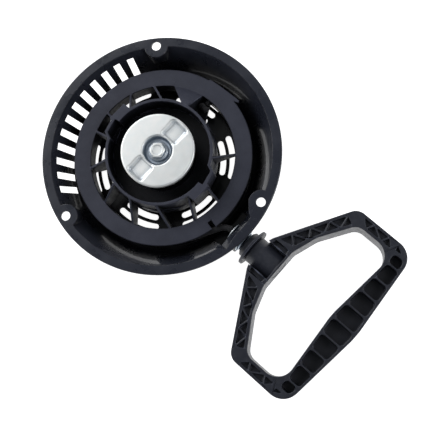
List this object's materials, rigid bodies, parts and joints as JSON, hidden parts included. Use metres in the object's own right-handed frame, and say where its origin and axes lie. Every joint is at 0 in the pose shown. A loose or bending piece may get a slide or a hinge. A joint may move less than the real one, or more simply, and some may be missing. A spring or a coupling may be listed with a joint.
{
  "type": "recoil starter",
  "caption": "Pull-cord recoil starter for a small engine: round vented pan, rope reel with ratchet hub and spring, and a ribbed loop handle.",
  "frame": {"origin": "centre of the pan's back face, on the crank axis", "axes": "+Z along the crank axis towards the engine; the rope and the handle leave in the X-Y plane, 41 degrees below +X"},
  "size_m": [0.2553, 0.2544, 0.0401],
  "materials": {
    "gloss_black_paint": "gloss powder coat",
    "reel_plastic": "satin moulded, slightly glass-filled",
    "handle_plastic": "satin moulded",
    "zinc_plate": "bright zinc plate",
    "spring_steel": "blued, oiled",
    "turned_steel": "turned, bare",
    "nylon": "natural nylon",
    "rope_braid": "braided polyester"
  },
  "bodies": {
    "root": {"housing": "gloss_black_paint", "rope_guide": "handle_plastic", "guide_eyelet": "zinc_plate", "eyelet_washer": "zinc_plate", "centre_post": "turned_steel", "lower_thrust_washer": "turned_steel", "upper_thrust_washer": "nylon", "retainer_plate": "zinc_plate", "centre_bolt": "zinc_plate", "rope_lead": "rope_braid"},
    "reel": {"reel": "reel_plastic", "reel_bush": "nylon", "spring_keeper": "zinc_plate", "recoil_spring": "spring_steel", "rope_coil": "rope_braid", "reel_knot": "rope_braid"},
    "rope_end": {"handle_knot": "rope_braid", "knot_washer": "turned_steel"},
    "handle": {"handle_frame": "handle_plastic", "handle_collar": "handle_plastic", "handle_plug": "handle_plastic"}
  },
  "joints": [
    {"name": "handle_pull", "type": "slide", "parent": "root", "child": "rope_end", "axis": [0.7547, -0.6561, 0], "range_m": [0, 1], "stiffness_N_per_m": 5, "springref_m": -1.5, "deforming": ["rope_lead"]},
    {"name": "handle_swivel", "type": "hinge", "parent": "rope_end", "child": "handle", "pos_m": [0.07316, -0.07318, 0.017], "axis": [0.7547, -0.6561, 0], "range_deg": [-180, 180]},
    {"name": "reel_spin", "type": "hinge", "parent": "root", "child": "reel", "pos_m": [0, 0, 0], "axis": [0, 0, 1], "range_deg": [0, 975], "deforming": ["recoil_spring"]}
  ],
  "couplings": [
    {"joint": "reel_spin", "follows": "handle_pull", "rad_per_m": 16.863}
  ]
}
